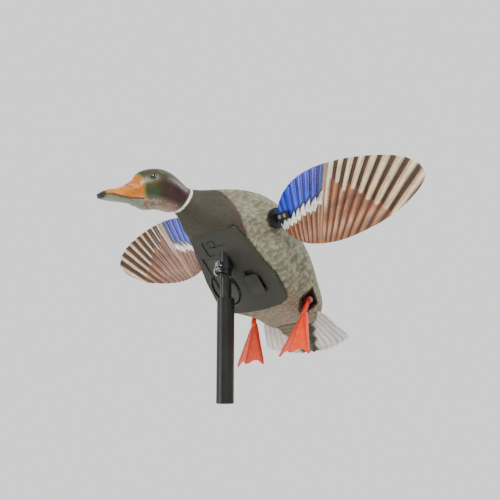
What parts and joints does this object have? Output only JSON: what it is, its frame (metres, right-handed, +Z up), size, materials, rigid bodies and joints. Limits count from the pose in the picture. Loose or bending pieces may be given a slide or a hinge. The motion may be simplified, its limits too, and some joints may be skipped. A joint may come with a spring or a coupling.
{
  "type": "motion wing decoy",
  "caption": "Hollow mallard drake decoy in landing pose on a pole socket, with motor-spun wing blades, swinging feet, hinged battery and charging covers and a pull-ring lock pin.",
  "frame": {"origin": "centre of the pole section's open lower end, on its axis", "axes": "+X is the duck's heading, +Y its left side, +Z up along the pole"},
  "size_m": [0.39, 0.69, 0.3206],
  "materials": {
    "pole_paint": "semi-gloss black-olive paint",
    "bush_plastic": "black nylon",
    "post_steel": "black paint, worn",
    "pin_steel": "chromed",
    "ring_steel": "black chrome",
    "body_paint": "painted blow-moulded shell, matt",
    "head_paint": "painted blow-moulded head, satin",
    "tail_paint": "painted flexible plastic, matt",
    "base_plastic": "olive-drab moulded plastic",
    "door_plastic": "olive-drab moulded plastic",
    "pin_wire": "drawn wire",
    "cell_wrap": "shrink wrap",
    "black_plastic": "black moulded plastic",
    "board_green": "solder mask",
    "screw_steel": "zinc plated",
    "can_steel": "nickel plated",
    "bronze": "sintered bronze",
    "magnet": "ferrite",
    "lamination": "varnished laminations",
    "copper": "copper",
    "carbon": "carbon",
    "shaft_steel": "ground",
    "hub_plastic": "black glass-filled nylon",
    "wing_print": "printed sheet, glossy",
    "leg_rubber": "orange soft rubber",
    "socket_plastic": "dark brown moulded plastic",
    "lead_wire": "insulated wire"
  },
  "bodies": {
    "pole": {"pole": "pole_paint", "pole_bush": "bush_plastic"},
    "rotor": {"wing_shaft": "shaft_steel", "rotor_core": "lamination", "commutator": "copper", "left_hub": "hub_plastic", "right_hub": "hub_plastic", "left_wing": "wing_print", "right_wing": "wing_print", "wing_backplates": "hub_plastic", "wing_screws": "screw_steel"},
    "battery_door": {"battery_door": "door_plastic"},
    "charge_flap": {"charge_flap": "door_plastic"},
    "power_rocker": {"power_rocker": "black_plastic"},
    "lock_pin": {"lock_pin": "pin_steel", "pin_link": "pin_steel"},
    "pull_ring": {"pull_ring": "ring_steel"},
    "left_leg": {"left_leg": "leg_rubber"},
    "right_leg": {"right_leg": "leg_rubber"},
    "decoy": {"post": "post_steel", "post_receiver": "post_steel", "body_shell": "body_paint", "head": "head_paint", "tail_fan": "tail_paint", "base_housing": "base_plastic", "door_hinge_pin": "pin_wire", "battery_cells": "cell_wrap", "flap_hinge_pin": "pin_wire", "switch_case": "black_plastic", "receiver_board": "board_green", "board_screws": "screw_steel", "charge_jack": "black_plastic", "motor_can": "can_steel", "motor_end_bell": "black_plastic", "motor_bearings": "bronze", "motor_magnets": "magnet", "motor_brushes": "carbon", "motor_cradle": "black_plastic", "motor_straps": "can_steel", "strap_screws": "screw_steel", "flank_bushings": "hub_plastic", "left_leg_socket": "socket_plastic", "right_leg_socket": "socket_plastic", "left_leg_pin": "pin_wire", "right_leg_pin": "pin_wire", "motor_leads": "lead_wire"}
  },
  "joints": [
    {"name": "pole_swivel", "type": "hinge", "parent": "pole", "child": "decoy", "pos_m": [0, 0, 0.15], "axis": [0, 0, 1], "continuous": true},
    {"name": "wing_spin", "type": "hinge", "parent": "decoy", "child": "rotor", "pos_m": [-0.03, 0, 0.26], "axis": [0, 1, 0], "continuous": true},
    {"name": "battery_door_hinge", "type": "hinge", "parent": "decoy", "child": "battery_door", "pos_m": [-0.02014, -0.05, 0.18385], "axis": [0.6428, 0, 0.766], "range_deg": [-95, 0]},
    {"name": "charge_flap_hinge", "type": "hinge", "parent": "decoy", "child": "charge_flap", "pos_m": [-0.02821, 0.0446, 0.16973], "axis": [0.6428, 0, 0.766], "range_deg": [0, 100]},
    {"name": "power_rocker_tilt", "type": "hinge", "parent": "decoy", "child": "power_rocker", "pos_m": [0.01412, -0.016, 0.23316], "axis": [0.6428, 0, 0.766], "range_deg": [-5, 5]},
    {"name": "lock_pin_pull", "type": "slide", "parent": "decoy", "child": "lock_pin", "axis": [1, 0, 0], "range_m": [0, 0.006], "stiffness_N_per_m": 150},
    {"name": "pull_ring_swing", "type": "hinge", "parent": "lock_pin", "child": "pull_ring", "pos_m": [0.01605, 0, 0.1854], "axis": [0, 1, 0], "range_deg": [0, 10]},
    {"name": "left_foot_swing", "type": "hinge", "parent": "decoy", "child": "left_leg", "pos_m": [-0.1086, 0.06, 0.15233], "axis": [0, 1, 0], "range_deg": [-12, 12]},
    {"name": "right_foot_swing", "type": "hinge", "parent": "decoy", "child": "right_leg", "pos_m": [-0.1086, -0.06, 0.15233], "axis": [0, 1, 0], "range_deg": [-12, 12]}
  ],
  "couplings": [
    {"joint": "pull_ring_swing", "follows": "lock_pin_pull", "rad_per_m": 29.08}
  ]
}
